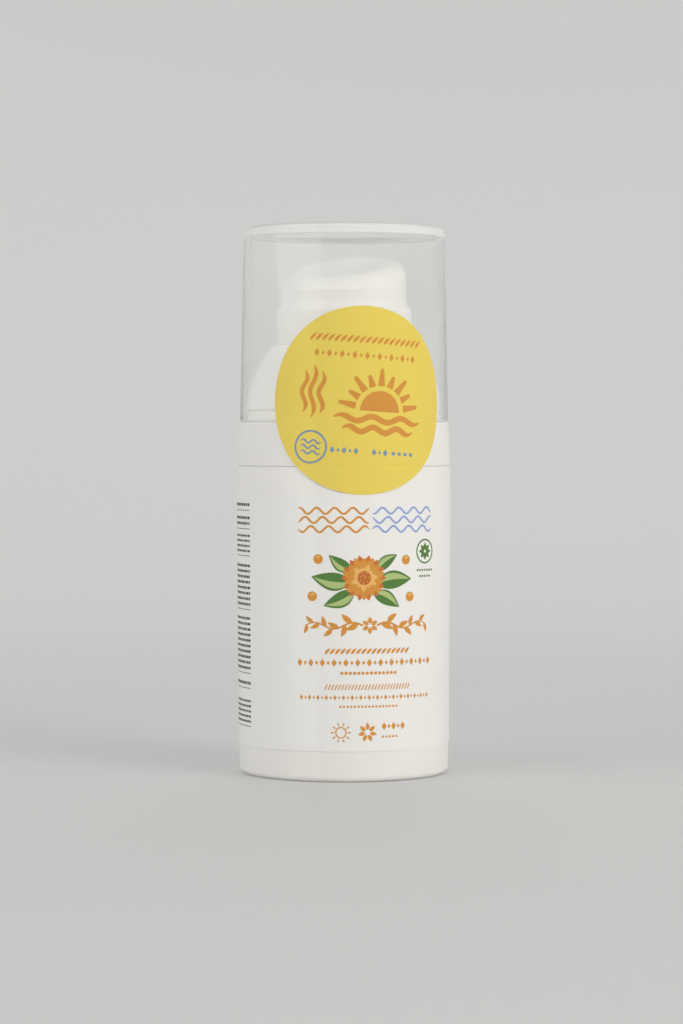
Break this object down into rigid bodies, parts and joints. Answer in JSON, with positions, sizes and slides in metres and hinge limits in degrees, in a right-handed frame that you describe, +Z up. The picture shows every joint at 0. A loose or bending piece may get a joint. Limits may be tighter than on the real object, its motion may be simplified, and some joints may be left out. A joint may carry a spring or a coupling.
{
  "type": "airless pump bottle",
  "caption": "Small white airless pump bottle for sun milk, with a press head, a domed collar, a clear pull-off overcap, a wrap label and a round sticker over the cap joint.",
  "frame": {"origin": "centre of the bottle's foot, on the surface it stands on", "axes": "+Z up along the bottle's axis; the label's front faces -Y"},
  "size_m": [0.0364, 0.0364, 0.0919],
  "materials": {
    "white_plastic": "satin white",
    "soft_white_plastic": "matt",
    "clear_plastic": "clear gloss",
    "seal_rubber": "matt",
    "steel": "drawn wire",
    "label_film": "satin film",
    "yellow_film": "satin film"
  },
  "bodies": {
    "bottle": {"bottle_body": "white_plastic", "wrap_label": "label_film", "shoulder_collar": "white_plastic", "pump_housing": "white_plastic", "chamber_cover": "white_plastic", "neck_seal": "seal_rubber", "return_spring": "steel"},
    "cap": {"overcap": "clear_plastic", "seal_sticker": "yellow_film"},
    "plunger": {"pump_stem": "white_plastic", "valve_rod": "white_plastic"},
    "head": {"press_head": "white_plastic", "nozzle_tip": "white_plastic"},
    "piston": {"pump_piston": "soft_white_plastic"},
    "follower": {"follower_piston": "soft_white_plastic"},
    "inlet_valve": {"inlet_ball": "steel"}
  },
  "joints": [
    {"name": "cap_lift", "type": "slide", "parent": "bottle", "child": "cap", "axis": [0, 0, 1], "range_m": [0, 0.045]},
    {"name": "pump_press", "type": "slide", "parent": "bottle", "child": "plunger", "axis": [0, 0, -1], "range_m": [0, 0.005], "stiffness_N_per_m": 1000, "springref_m": -0.004, "deforming": ["return_spring"]},
    {"name": "head_swivel", "type": "hinge", "parent": "plunger", "child": "head", "pos_m": [0, 0, 0.08], "axis": [0, 0, 1], "continuous": true},
    {"name": "piston_slip", "type": "slide", "parent": "plunger", "child": "piston", "axis": [0, 0, 1], "range_m": [0, 0.00075]},
    {"name": "follower_rise", "type": "slide", "parent": "bottle", "child": "follower", "axis": [0, 0, 1], "range_m": [0, 0.0398]},
    {"name": "inlet_ball_lift", "type": "slide", "parent": "bottle", "child": "inlet_valve", "axis": [0, 0, 1], "range_m": [0, 0.0006]}
  ]
}
